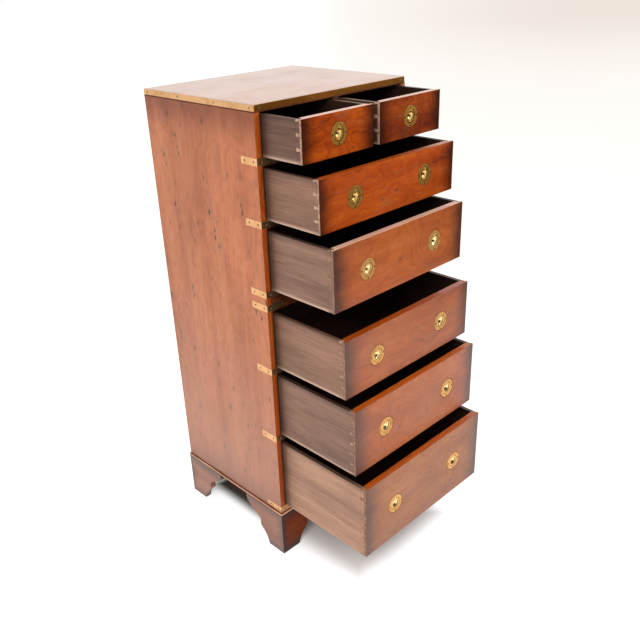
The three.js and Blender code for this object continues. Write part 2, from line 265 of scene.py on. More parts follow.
def wood(name, deep, middle, light, rim=0.0, reaches=None, rim_colour="3c1606", rim_side=0, rim_line=0.0,
         worn_highlight_band=0.0, corner_shade=0.0, size=1.0, wild=1.0, figure=0.25, rings=0.3, fibre=0.35, band=0.25,
         broad=0.25, pips=0.0, worn=0.0, floor_sheen=0.0, rough=0.34, coat=0.1, grit=0.1, sheen=0.4):
    """Polished timber. The grain runs along the first axis of the piece's grain attribute.

    The rim is a shade towards the edges of a board, with a darker line at the very edge. A pale
    band along the lower edge is wear with a painted highlight, corners with other pieces get
    painted shade, and a painted reflection of the floor makes a board paler towards the bottom.
    """
    s = Shader(name)
    grain = s.attribute("grain")
    sway = s.noise(s.stretch(grain, (7 * size, 10 * size, 10 * size)), detail=2.0)
    wander = s.noise(s.stretch(grain, (2.2, 5, 5), (3, 7, 1)), detail=1.0)
    shift = s.math("MULTIPLY_ADD", sway, 0.05 * wild, s.math("MULTIPLY", wander, 0.12 * wild))
    bend = s.add("CombineXYZ", {"Y": shift, "Z": s.math("MULTIPLY", shift, 0.7)})
    bent = s.add("VectorMath", {0: grain, 1: bend}, operation="ADD")
    cloud = s.noise(s.stretch(bent, (4 * size, 16 * size, 16 * size)), detail=5.0, roughness=0.6)
    wave = s.add("TexWave", {
        "Vector": s.stretch(bent, (1.5, 17 * size, 11 * size)),
        "Scale": 3.0,
        "Distortion": 2.4,
        "Detail": 3.0,
        "Detail Scale": 1.4,
        "Detail Roughness": 0.6,
    }, "Fac", bands_direction="Y")
    line = s.remap(wave, 0.0, 0.7)
    fibres = s.noise(s.stretch(bent, (8, 620, 620)), detail=4.0, roughness=0.7)
    bands = s.noise(s.stretch(bent, (0.7, 34, 34)), detail=3.0)
    tone = 0.5
    for part, share in ((cloud, figure * 2), (line, rings * 0.5), (fibres, fibre * 2), (bands, band * 2)):
        tone = s.math("MULTIPLY_ADD", s.math("SUBTRACT", part, 0.5), share, tone)
    colour = s.ramp(tone, [(0.15, paint(deep)), (0.5, paint(middle)), (0.85, paint(light))])
    patch = s.noise(s.stretch(grain, (2.2, 6, 6), (9, 2, 4)), detail=3.0)
    colour = s.mix(s.remap(patch, 0.42, 0.72, 0.0, broad), colour, paint(deep), "MULTIPLY")
    if pips:
        colour = add_pips(s, colour, grain, bent, pips)
    if rim:
        wobble = s.noise(s.stretch(grain, (9, 24, 24)), detail=3.0)
        near_rim = edge_shade(s, reaches, wobble, rim_side)
        colour = s.mix(s.math("MULTIPLY", near_rim, rim), colour, paint(rim_colour))
        if rim_line:
            at_edge = s.math("MULTIPLY", s.math("POWER", near_rim, 5.0), rim_line)
            colour = s.mix(at_edge, colour, paint(EDGE_LINE))
        # A pale band along the lower edge: wear with a painted highlight
        if worn_highlight_band:
            low_edge = s.math("MULTIPLY", edge_shade(s, {"Z": RUNNER_REACH}, wobble, -1), worn_highlight_band)
            colour = s.mix(low_edge, colour, paint(WORN_HIGHLIGHT_COLOUR))
    # A painted reflection of the floor: the board turns paler towards the bottom
    if floor_sheen:
        height = s.add("SeparateXYZ", {0: s.attribute("place")}).node.outputs["Z"]
        colour = s.mix(s.remap(height, 0.15, -0.5, 0.0, floor_sheen), colour, paint(FLOOR_SHEEN_COLOUR))
    # Painted shade in corners with other pieces, found by ambient occlusion
    if corner_shade:
        open_share = s.add("AmbientOcclusion", {"Distance": CORNER_REACH}, "AO", samples=4)
        colour = s.mix(s.remap(open_share, 0.7, 0.96, corner_shade, 0.0), colour, paint(CORNER_SHADE_COLOUR))
    if worn:
        rub = s.remap(s.noise(s.stretch(grain, (40, 130, 130)), detail=4.0), 0.42, 0.62, 0.0, worn)
        colour = s.mix(rub, colour, paint(RUBBED))
    smear = s.noise(s.stretch(grain, (7, 11, 11)), detail=4.0)
    roughness = s.remap(smear, 0.3, 0.7, rough - 0.05, rough + 0.08)
    s.bump(fibres, grit, FIBRE_DEPTH)
    return s.finish(Base_Color=colour, Roughness=roughness, Specular_IOR_Level=sheen,
                    Coat_Weight=coat, Coat_Roughness=0.12)


def metal(name, bright, dull, stain, rough=0.26, stained=0.5, brushed=0.1, uneven=0.12, metallic=1.0):
    """Lacquered brass that has dulled in patches."""
    s = Shader(name)
    place = s.add("TexCoord", {}, "Object")
    patch = s.noise(place, scale=38.0, detail=5.0, roughness=0.65)
    fine = s.noise(place, scale=420.0, detail=3.0)
    tone = s.math("MULTIPLY_ADD", fine, 0.35, s.math("MULTIPLY", patch, 0.65))
    colour = s.ramp(tone, [(0.32, paint(dull)), (0.55, paint(bright))])
    spots = s.remap(s.noise(place, scale=120.0, detail=4.0), 0.56, 0.7, 0.0, stained)
    colour = s.mix(spots, colour, paint(stain))
    roughness = s.remap(patch, 0.3, 0.7, rough + uneven, rough)
    s.bump(fine, brushed, BRUSH_DEPTH)
    return s.finish(Base_Color=colour, Roughness=roughness, Metallic=metallic)


def build_materials():
    lower = {"reaches": {"X": 0.09}, "pips": 0.5, "rings": 0.14, "band": 0.15, "broad": 0.3}
    short = {"rim": 0.8, "reaches": {"X": 0.07}, "rim_colour": "301004", "rim_line": 0.45, "pips": 0.4,
             "size": 1.3, "figure": 0.42, "rings": 0.2, "band": 0.2, "broad": 0.5, "sheen": 0.05,
             "coat": 0.0}
    # The stiles' dark inner rim is painted shade in the gap beside the drawers
    stile = {"rim": 0.95, "reaches": {"X": 0.009}, "rim_colour": "1a0802", "rough": 0.3, "coat": 0.3}
    bracket = {"wild": 0.5, "size": 1.4, "figure": 0.3, "rings": 0.06, "broad": 0.4, "pips": 0.3,
               "coat": 0.0}
    # The drawer sides get painted shade in the corner where they come out of the case
    lining = {"rim": 0.5, "reaches": {"Z": 0.02}, "rim_side": 1, "corner_shade": 0.75, "wild": 0.12,
              "rings": 0.06, "rough": 0.46, "coat": 0.0, "grit": 0.3, "sheen": 0.3}
    return {
        # The fronts by row are lighter and darker copies of one yew: painted light and shade for how light
        # falls on each row
        "front": wood("yew_front", "74300c", "a44f15", "c06e28", rim=0.9, rim_colour="582812",
                      rim_line=0.35, figure=0.32, sheen=0.42, coat=0.03, **lower),
        "third_front": wood("yew_third_front", "743010", "ac531a", "cb7230", rim=0.8, rim_colour="502210",
                            rim_line=0.55, figure=0.34, sheen=0.32, coat=0.02, **lower),
        "lowest_front": wood("yew_lowest_front", "703414", "9c5620", "b87638", rim=0.9,
                             rim_colour="583018", rim_line=0.35, figure=0.32, sheen=0.45, coat=0.05,
                             **lower),
        "upper_front": wood("yew_upper_front", "681e04", "a64308", "c46416", rim=0.75,
                            reaches={"X": 0.07}, rim_colour="461802", rim_line=0.55, pips=0.5, size=1.3,
                            wild=0.8, figure=0.38, rings=0.12, band=0.15, broad=0.4, sheen=0.08,
                            coat=0.0),
        "top_front": wood("yew_top_front", "561804", "983a04", "be5a0e", **short),
        "short_right_front": wood("yew_short_right_front", "481404", "803006", "a24e10", **short),
        # The side darkens towards its top and bottom, painted shade under the top edging, and is paler low
        # down, a painted reflection of the floor
        "side": wood("yew_side", "803e20", "be7048", "d48c60", rim=0.7, reaches={"Z": 0.12},
                     rim_colour="6a2e16", wild=0.4, size=1.5, figure=0.16, rings=0.12, fibre=0.4,
                     band=0.22, pips=0.9, floor_sheen=0.45, sheen=0.24),
        "top": wood("yew_top", "9e5a34", "cc804a", "dc9a66", rim=0.5, reaches={"X": 0.02, "Y": 0.02},
                    rim_colour="6a3420", wild=0.6, figure=0.2, rings=0.2, pips=0.5, coat=0.65, rough=0.2,
                    grit=0.02),
        "rail": wood("yew_rail", "7a2a04", "aa4a0c", "c86c20", rough=0.3, coat=0.3),
        "stile_left": wood("yew_stile_left", "7a2a04", "aa4a0c", "c86c20", rim_side=1, **stile),
        "stile_right": wood("yew_stile_right", "7a2a04", "aa4a0c", "c86c20", rim_side=-1, **stile),
        # The shelves are dark and get corner shade: painted shade under the drawers
        "shelf": wood("yew_shelf", "441804", "723410", "94501e", corner_shade=0.85, rough=0.3, coat=0.0,
                      sheen=0.3),
        "base": wood("yew_base", "4c1604", "78300c", "944c20", rim=0.95, reaches={"X": 0.035, "Z": 0.045},
                     rim_colour="42302a", sheen=0.1, **bracket),
        # The feet's side wings are paler, a painted reflection
        "side_sheen_base": wood("yew_side_sheen_base", "744432", "9e6850", "b8886e", rim=0.9,
                          reaches={"Y": 0.035, "Z": 0.045}, rim_colour="64504a", sheen=0.35, **bracket),
        # Painted shade for the moulding's upper flat, the top's faces under its lip and the fronts'
        # upright end arrises
        "painted_shade": wood("moulding_painted_shade", "3c1606", "582814", "7c4424", sheen=0.1, coat=0.0),
        # A painted highlight on the upward faces of the moulding's nose
        "nose_highlight": wood("moulding_nose_highlight", "a06040", "cc9270", "e0ac8c", rough=0.3, sheen=0.5),
        "lining": wood("mahogany_lining", "583c2e", "926a54", "b08870", rim_colour="2c1c16", worn_highlight_band=0.7,
                       figure=0.14, fibre=0.5, band=0.2, broad=0.45, **lining),
        "dark_lining": wood("mahogany_dark_lining", "4e362a", "866250", "ac846e", rim_colour="2c1c16",
                            worn_highlight_band=0.7, figure=0.16, fibre=0.5, band=0.2, broad=0.5, **lining),
        "pale_lining": wood("mahogany_pale_lining", "7a5642", "b68a70", "d8ac90", rim_colour="3c261c",
                            worn_highlight_band=0.15, figure=0.12, fibre=0.46, band=0.32, broad=0.3, **lining),
        # The drawer insides are near black, painted shade
        "inside": wood("drawer_inside", "160c08", "2a1810", "402618", wild=0.3, rings=0.12, fibre=0.5,
                       rough=0.8, coat=0.0, grit=0.3, sheen=0.1),
        "back": wood("back_panel_wood", "6a4a32", "8e6a4a", "a8845e", rim=0.3, reaches={"Z": 0.12},
                     rough=0.6, coat=0.0, fibre=0.6, grit=0.3),
        "pin": wood("end_grain", "745646", "a07c68", "c8a48e", worn=0.6, rough=0.6, coat=0.0),
        "worn_pin": wood("worn_end_grain", "5e4434", "8a6650", "b08c74", worn=0.5, rough=0.6, coat=0.0),
        "pale_end": wood("yew_pale_end", "604434", "8e6c56", "b48e78", worn=0.5, rough=0.55, coat=0.0),
        "front_end": wood("yew_front_end", "583626", "80583f", "a47c64", worn=0.25, rough=0.55, coat=0.0),
        "dark_end": wood("yew_dark_end", "54392c", "805c48", "a07a64", worn=0.1, rough=0.55, coat=0.0),
        # Paler eased arrises and top edges: wear with a painted highlight
        "edge": wood("edge_wear_and_highlight", "b05c22", "da8238", "f0a862", worn=0.2),
        "pale_edge": wood("pale_edge_wear_and_highlight", "c0846a", "e4b69c", "f6dccc", worn=0.4),
        "dark_edge": wood("worn_lining_edge", "6a4a3c", "94705c", "b49480", worn=0.35, rough=0.5,
                          coat=0.0),
        "brass": metal("strap_brass", "e0ac7a", "c89460", "9a7040", rough=0.3, stained=0.15,
                       uneven=0.04, metallic=0.95),
        "edging": metal("edging_brass", "d4a674", "b88652", "946a3e", rough=0.3, stained=0.1,
                        uneven=0.03, brushed=0.03),
        # The edging's front face is darker brass, a painted dark reflection
        "front_dark_reflection_edging": metal("front_dark_reflection_edging_brass", "9e6424", "865018", "603408", rough=0.3,
                              stained=0.3, uneven=0.03, brushed=0.03),
        "plate": metal("pull_brass", "d09a56", "b4803e", "805a2c", rough=0.4, stained=0.2,
                       metallic=0.75),
        "recess": metal("recess_brass", "8a6430", "6e4c20", "50381a", rough=0.5, stained=0.3),
        "dish": metal("dish_brass", "ecd098", "d0b078", "a48452", rough=0.14, stained=0.1),
        "ring": metal("ring_brass", "e0b26c", "c89a58", "8e6a3a", stained=0.1, metallic=0.9),
        # Darker copies of the pull brass for the upper drawers, painted shade
        "shaded_plate": metal("shaded_pull_brass", "a4742e", "88601e", "5e4214", rough=0.4, stained=0.3,
                            metallic=0.75),
        "shaded_recess": metal("shaded_recess_brass", "644410", "4e340a", "382408", rough=0.5, stained=0.3),
        "shaded_dish": metal("shaded_dish_brass", "d4b070", "b49050", "8a6a34", rough=0.14, stained=0.1),
        "shaded_ring": metal("shaded_ring_brass", "b4863a", "9a702a", "6c4c1c", stained=0.2, metallic=0.9),
        "screw": metal("screw_brass", "8e6840", "6e4c2c", "4a3018", rough=0.4, stained=0.6),
        "pull_screw": metal("pull_screw_brass", "48301a", "2e1c0e", "1a1008", rough=0.5, stained=0.6),
    }


# Mesh making

def mesh_of(bm, name):
    bmesh.ops.recalc_face_normals(bm, faces=bm.faces)
    mesh = bpy.data.meshes.new(name)
    bm.to_mesh(mesh)
    bm.free()
    return mesh


def add_block(bm, low, high):
    corners = [Vector((x, y, z)) for x in (low[0], high[0]) for y in (low[1], high[1])
               for z in (low[2], high[2])]
    verts = [bm.verts.new(corner) for corner in corners]
    for face in ((0, 1, 3, 2), (4, 6, 7, 5), (0, 4, 5, 1), (2, 3, 7, 6), (0, 2, 6, 4), (1, 5, 7, 3)):
        bm.faces.new([verts[index] for index in face])


def block(name, low, high):
    bm = bmesh.new()
    add_block(bm, low, high)
    return mesh_of(bm, name)


def add_prism(bm, outline, axis, start, end):
    """An outline of points in the plane across an axis, run along it from start to end."""
    ring = []
    for level in (start, end):
        points = []
        for first, second in outline:
            point = [first, second]
            point.insert(axis, level)
            points.append(bm.verts.new(point))
        ring.append(points)
    count = len(outline)
    bm.faces.new(ring[0])
    bm.faces.new(list(reversed(ring[1])))
    for index in range(count):
        after = (index + 1) % count
        bm.faces.new((ring[0][index], ring[1][index], ring[1][after], ring[0][after]))


def turned(name, profile, sides=64):
    """A closed profile of (radius, depth) points turned about the Y axis."""
    bm = bmesh.new()
    rings = []
    for radius, depth in profile:
        if radius < 1e-7:
            rings.append([bm.verts.new((0, depth, 0))] * sides)
            continue
        angles = [2 * math.pi * step / sides for step in range(sides)]
        rings.append([bm.verts.new((radius * math.cos(a), depth, radius * math.sin(a))) for a in angles])
    for index, ring in enumerate(rings):
        other = rings[(index + 1) % len(rings)]
        for step in range(sides):
            after = (step + 1) % sides
            corners = [ring[step], ring[after], other[after], other[step]]
            kept = [vert for place, vert in enumerate(corners) if vert is not corners[place - 1]]
            if len(kept) > 2:
                bm.faces.new(kept)
    return mesh_of(bm, name)


def joined(name, meshes):
    """Meshes put together in one, each given with the material slot of all its faces."""
    bm = bmesh.new()
    for mesh, slot in meshes:
        start = len(bm.faces)
        bm.from_mesh(mesh)
        bm.faces.ensure_lookup_table()
        for face in bm.faces[start:]:
            face.material_index = slot
    mesh = bpy.data.meshes.new(name)
    bm.to_mesh(mesh)
    bm.free()
    return mesh


def moved(mesh, place, turn=None):
    copy = mesh.copy()
    copy.transform(Matrix.Translation(place) @ (turn or Matrix.Identity(4)))
    return copy


def evaluated(mesh, kind, settings):
    """The mesh with one modifier applied."""
    holder = bpy.data.objects.new("worked", mesh)
    bpy.context.scene.collection.objects.link(holder)
    modifier = holder.modifiers.new(kind.lower(), kind)
    for key, value in settings.items():
        setattr(modifier, key, value)
    depsgraph = bpy.context.evaluated_depsgraph_get()
    result = bpy.data.meshes.new_from_object(holder.evaluated_get(depsgraph))
    bpy.data.objects.remove(holder)
    return result


def softened(mesh, width, segments=2):
    """The mesh with its edges eased. The eased faces get material slot 1."""
    return evaluated(mesh, "BEVEL", {
        "width": width,
        "segments": segments,
        "limit_method": "ANGLE",
        "angle_limit": math.radians(32),
        "material": 1,
        "loop_slide": True,
    })


def carved(mesh, cutters):
    """The mesh less the cutters, which don't touch one another."""
    cutter = bpy.data.objects.new("cutter", joined("cutter", [(each, 0) for each in cutters]))
    bpy.context.scene.collection.objects.link(cutter)
    result = evaluated(mesh, "BOOLEAN", {"object": cutter, "operation": "DIFFERENCE", "solver": "EXACT"})
    bpy.data.objects.remove(cutter)
    return result


def node_mesh(node):
    """A clean copy of a CAD node's mesh, its flat faces whole."""
    bm = bmesh.new()
    bm.from_mesh(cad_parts[node].data)
    bmesh.ops.remove_doubles(bm, verts=bm.verts, dist=1e-6)
    bmesh.ops.dissolve_limit(bm, angle_limit=math.radians(1), verts=bm.verts, edges=bm.edges)
    for face in bm.faces:
        face.material_index = 0
    return mesh_of(bm, node)


def repaint(mesh, slot, chosen, among=0):
    """Gives another material slot to those faces of one slot that are chosen."""
    for face in mesh.polygons:
        if face.material_index == among and chosen(face):
            face.material_index = slot


# The order of the axes for a grain that runs along each one
AXES = {"X": (0, 1, 2), "Y": (1, 0, 2), "Z": (2, 0, 1)}


def place_piece(name, mesh, body, materials, grain="X", nodes=()):
    """Puts a finished mesh in the scene, with what its materials need to know of its grain and rim."""
    mesh.name = name
    last = len(materials) - 1
    indices = [min(face.material_index, last) for face in mesh.polygons]
    mesh.materials.clear()
    for material in materials:
        mesh.materials.append(material)
    mesh.polygons.foreach_set("material_index", indices)
    points = [vertex.co.copy() for vertex in mesh.vertices]
    low = Vector(min(point[axis] for point in points) for axis in range(3))
    high = Vector(max(point[axis] for point in points) for axis in range(3))
    centre = (low + high) / 2
    half = (high - low) / 2
    start = Vector(chance.uniform(0, 30) for _ in range(3))
    along, across, through = AXES[grain]
    values = {
        "grain": [start + Vector((point[along], point[across], point[through])) for point in points],
        "place": [point - centre for point in points],
        "half": [half] * len(points),
    }
    for key, vectors in values.items():
        layer = mesh.attributes.new(key, "FLOAT_VECTOR", "POINT")
        layer.data.foreach_set("vector", [number for vector in vectors for number in vector])
    mesh.shade_smooth()
    mesh.set_sharp_from_angle(angle=math.radians(34))
    for polygon in mesh.polygons:
        if polygon.material_index != 1 and max(abs(part) for part in polygon.normal) > 0.9999:
            polygon.use_smooth = False
    piece = bpy.data.objects.new(name, mesh)
    bpy.context.scene.collection.objects.link(piece)
    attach(piece, body)
    if nodes:
        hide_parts(*nodes)


# Screws

SCREW_RADIUS = 2.0 * MM
SCREW_SLOT = 0.5 * MM
SCREW_SINK = 0.15 * MM
SCREW_HOLE_DEPTH = 1.2 * MM
SCREW_SLOT_DEPTH = SCREW_HOLE_DEPTH * 0.7
SCREW_STEPS = 12


def screw_head(radius=SCREW_RADIUS, angle=0.0):
    """A slotted head about the Y axis, its face looking along -Y just under y = 0."""
    bm = bmesh.new()
    spread = math.asin(SCREW_SLOT / 2 / radius)
    for side in (-1, 1):
        arc = [spread + (math.pi - 2 * spread) * step / SCREW_STEPS for step in range(SCREW_STEPS + 1)]
        outline = [(radius * math.cos(a), side * radius * math.sin(a)) for a in arc]
        add_prism(bm, outline, 1, SCREW_SINK, SCREW_SLOT_DEPTH)
    head = mesh_of(bm, "screw_head")
    profile = [
        (0, SCREW_SLOT_DEPTH),
        (radius, SCREW_SLOT_DEPTH),
        (radius, SCREW_HOLE_DEPTH),
        (0, SCREW_HOLE_DEPTH),
    ]
    whole = joined("screw", [(head, 0), (turned("screw_base", profile, 24), 0)])
    whole.transform(Matrix.Rotation(angle, 4, "Y"))
    return whole


def screw_hole(radius=SCREW_RADIUS):
    wide = radius * 1.12
    profile = [(0, -MM), (wide, -MM), (wide, SCREW_HOLE_DEPTH), (0, SCREW_HOLE_DEPTH)]
    return turned("screw_hole", profile, 24)


# The turn that points a screw's face each way
FACING = {
    "-Y": Matrix.Identity(4),
    "-X": Matrix.Rotation(math.radians(-90), 4, "Z"),
    "+X": Matrix.Rotation(math.radians(90), 4, "Z"),
}


def screwed(name, mesh, screws):
    """The mesh with countersunk screws: each screw is its place and the way that it faces."""
    holes = [moved(screw_hole(), place, FACING[facing]) for place, facing in screws]
    heads = [(moved(screw_head(angle=chance.uniform(0, math.pi)), place, FACING[facing]), 2)
             for place, facing in screws]
    body = softened(carved(mesh, holes), 0.3 * MM)
    indices = [polygon.material_index for polygon in body.polygons]
    whole = joined(name, [(body, 0), *heads])
    for polygon, index in zip(whole.polygons, indices):
        polygon.material_index = index
    return whole


# Case

EDGING_SIDE_SCREWS = (0.035, 0.33, 0.66, 0.965)
EDGING_FRONT_SCREWS = (0.03, 0.35, 0.65, 0.97)
STRAP_SCREWS = (11 * MM, 39 * MM)


def make_case(look):
    for end in ("left", "right"):
        node = f"side_panel_{end}"
        panel = softened(node_mesh(node), 0.8 * MM)
        repaint(panel, 2, lambda face: face.normal.y < -0.9)
        place_piece(f"{node}_board", panel, "case",
                    [look["side"], look["edge"], look[f"stile_{end}"]], "Z", [node])
    board = softened(node_mesh("top_board"), 0.3 * MM)
    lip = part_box("top_edging")[0].z
    # The top's faces under its lip get painted shade
    repaint(board, 2, lambda face: face.normal.z < 0.5 and face.center.z < lip)
    place_piece("top_board_panel", board, "case",
                [look["top"], look["edge"], look["painted_shade"]], "X", ["top_board"])
    place_piece("back_panel_board", softened(node_mesh("back_panel"), 0.3 * MM), "case",
                [look["back"], look["back"]], "Z", ["back_panel"])
    for row in range(1, 6):
        node = f"shelf_{row}"
        place_piece(f"{node}_board", softened(node_mesh(node), 0.5 * MM), "case",
                    [look["shelf"], look["edge"]], "X", [node])
    moulding = softened(node_mesh("base_board"), 0.25 * MM)
    # Painted shade on the moulding's upper flat and a painted highlight on its nose
    repaint(moulding, 2, lambda face: face.normal.z > 0.9)
    repaint(moulding, 3, lambda face: face.normal.z > -0.1)
    place_piece("base_moulding", moulding, "case",
                [look["base"], look["painted_shade"], look["painted_shade"], look["nose_highlight"]], "X", ["base_board"])


def make_edging(look):
    low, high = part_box("top_edging")
    middle = high.z - EDGING_HEIGHT / 2
    screws = []
    for share in EDGING_SIDE_SCREWS:
        y = low.y + (high.y - low.y) * share
        screws.append(((low.x, y, middle), "-X"))
        screws.append(((high.x, y, middle), "+X"))
    for share in EDGING_FRONT_SCREWS:
        screws.append(((low.x + (high.x - low.x) * share, low.y, middle), "-Y"))
    metal_set = [look["edging"], look["edging"], look["screw"], look["front_dark_reflection_edging"]]
    strip = screwed("top_edging_strip", node_mesh("top_edging"), screws)
    # The front face gets the painted dark reflection
    repaint(strip, 3, lambda face: face.normal.y < -0.9 and face.center.y < low.y + MM)
    place_piece("top_edging_strip", strip, "case", metal_set, "X", ["top_edging"])


def make_straps(look):
    metal_set = [look["brass"], look["brass"], look["screw"]]
    for end, facing in (("left", "-X"), ("right", "+X")):
        for row in range(1, 8):
            node = f"strap_{row}_{end}"
            low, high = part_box(node)
            outer = low.x if end == "left" else high.x
            inward = 1 if end == "left" else -1
            middle = (low.z + high.z) / 2
            screws = [((outer, low.y + reach, middle), facing) for reach in STRAP_SCREWS]
            screws += [((outer + inward * reach, low.y, middle), "-Y") for reach in STRAP_SCREWS]
            place_piece(f"{node}_brass", screwed(node, node_mesh(node), screws), "case",
                        metal_set, "X", [node])


# Bracket feet: outline points are (distance from the corner, height)

FOOT_FLOOR = 56 * MM
FOOT_CUSP = 86 * MM
FOOT_CUSP_LOW = 46 * MM
FOOT_CUSP_HIGH = 64 * MM
FOOT_REACH = 138 * MM
FOOT_ARCH = 109 * MM
FOOT_HOLLOW = (61 * MM, 27 * MM)
FOOT_REAR_REACH = 92 * MM
CURVE_STEPS = 14
SWAP_X_AND_Y = Matrix(((0, 1, 0, 0), (1, 0, 0, 0), (0, 0, 1, 0), (0, 0, 0, 1)))


def curve(points):
    """Points along a Bezier curve, after its start."""
    found = []
    for step in range(1, CURVE_STEPS + 1):
        share = step / CURVE_STEPS
        level = [Vector(point) for point in points]
        while len(level) > 1:
            level = [a.lerp(b, share) for a, b in zip(level, level[1:])]
        found.append(tuple(level[0]))
    return found


def shaped_wing(top):
    span = FOOT_REACH - FOOT_CUSP
    shoulder = FOOT_CUSP_HIGH + (FOOT_ARCH - FOOT_CUSP_HIGH) * 0.44
    return [
        (0, 0),
        (FOOT_FLOOR, 0),
        *curve([(FOOT_FLOOR, 0), FOOT_HOLLOW, (FOOT_CUSP, FOOT_CUSP_LOW)]),
        (FOOT_CUSP, FOOT_CUSP_HIGH),
        *curve([
            (FOOT_CUSP, FOOT_CUSP_HIGH),
            (FOOT_CUSP + span * 0.23, shoulder),
            (FOOT_CUSP + span * 0.9, shoulder),
            (FOOT_REACH, FOOT_ARCH),
        ]),
        (FOOT_REACH, top),
        (0, top),
    ]


def wing(name, outline):
    """A wing along +X with its outer face at y = 0, mitred at the corner to meet another wing."""
    bm = bmesh.new()
    add_prism(bm, outline, 1, 0, FOOT_BOARD)
    for vertex in bm.verts:
        if vertex.co.x < 1e-6 and vertex.co.y > FOOT_BOARD / 2:
            vertex.co.x = FOOT_BOARD
    return mesh_of(bm, name)


def make_feet(look):
    for end, flip_y in (("front", 1), ("rear", -1)):
        for side, flip_x in (("left", 1), ("right", -1)):
            node = f"foot_{end}_{side}"
            low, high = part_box(node)
            corner = Vector((low.x if flip_x > 0 else high.x, low.y if flip_y > 0 else high.y, 0))
            plain = [(0, 0), (FOOT_FLOOR, 0), (FOOT_REAR_REACH, high.z), (0, high.z)]
            across = wing("across", shaped_wing(high.z) if end == "front" else plain)
            along = wing("along", shaped_wing(high.z))
            along.transform(SWAP_X_AND_Y)
            glue = block("glue", (FOOT_BOARD, FOOT_BOARD, FOOT_BLOCK_RISE),
                         (FOOT_BOARD + FOOT_BLOCK, FOOT_BOARD + FOOT_BLOCK, high.z))
            mirror = Matrix.Translation(corner) @ Matrix.Diagonal((flip_x, flip_y, 1, 1))
            # The side wing takes the paler look, a painted reflection
            parts = (
                ("wing_across", across, "X", "base", [node]),
                ("wing_along", along, "Y", "side_sheen_base", []),
                ("block", glue, "Z", "base", []),
            )
            for part, mesh, grain, timber, nodes in parts:
                mesh.transform(mirror)
                if flip_x * flip_y < 0:
                    mesh.flip_normals()
                place_piece(f"{node}_{part}", softened(mesh, 0.7 * MM), "case",
                            [look[timber], look["dark_edge"]], grain, nodes)


# Drawers

TAIL_PITCH = 27 * MM
PIN_NARROW = 4.5 * MM
PIN_WIDE = 8.5 * MM
PIN_GAP = 0.12 * MM


def pin_heights(low, high):
    """Where the pins of a half-blind dovetail joint stand, with a half pin at each end."""
    count = max(3, round((high - low) / TAIL_PITCH))
    return [low + (high - low) * step / count for step in range(count + 1)]


def lining_mesh(outer, inner, front, back, low, high):
    """A drawer side whose front end is cut in tails, which widen towards the front."""
    bm = bmesh.new()
    add_block(bm, (min(outer, inner), front + FRONT, low), (max(outer, inner), back, high))
    joint = front + LAP
    centres = pin_heights(low, high)
    for below, above in zip(centres, centres[1:]):
        outline = [
            (joint, below + PIN_NARROW / 2),
            (front + FRONT, below + PIN_WIDE / 2),
            (front + FRONT, above - PIN_WIDE / 2),
            (joint, above - PIN_NARROW / 2),
        ]
        add_prism(bm, outline, 0, min(outer, inner), max(outer, inner))
    return mesh_of(bm, "lining")


def pins_mesh(outer, inner, front, low, high):
    """The end grain of a drawer front that shows between the tails of one side."""
    bm = bmesh.new()
    joint = front + LAP
    narrow = PIN_NARROW / 2 - PIN_GAP
    wide = PIN_WIDE / 2 - PIN_GAP
    for centre in pin_heights(low, high):
        outline = [
            (joint, max(low, centre - narrow)),
            (front + FRONT, max(low, centre - wide)),
            (front + FRONT, min(high, centre + wide)),
            (joint, min(high, centre + narrow)),
        ]
        add_prism(bm, outline, 0, min(outer, inner), max(outer, inner))
    return mesh_of(bm, "pins")


def pull_pocket(place):
    """What is cut from a drawer's front for one pull, with a gap round its plate."""
    flange = PLATE_RADIUS + PLATE_SHADOW
    cup = PULL_CUP_RADIUS + POCKET_GAP
    profile = [
        (0, -MM),
        (flange, -MM),
        (flange, PULL_FLANGE + POCKET_GAP),
        (cup, PULL_FLANGE + POCKET_GAP),
        (cup, PULL_CUP_DEPTH + POCKET_GAP),
        (0, PULL_CUP_DEPTH + POCKET_GAP),
    ]
    return moved(turned("pocket", profile), place)


def looks_of(name):
    """The look of each part of one drawer."""
    return {**USUAL_LOOKS, **OWN_LOOKS[name]}


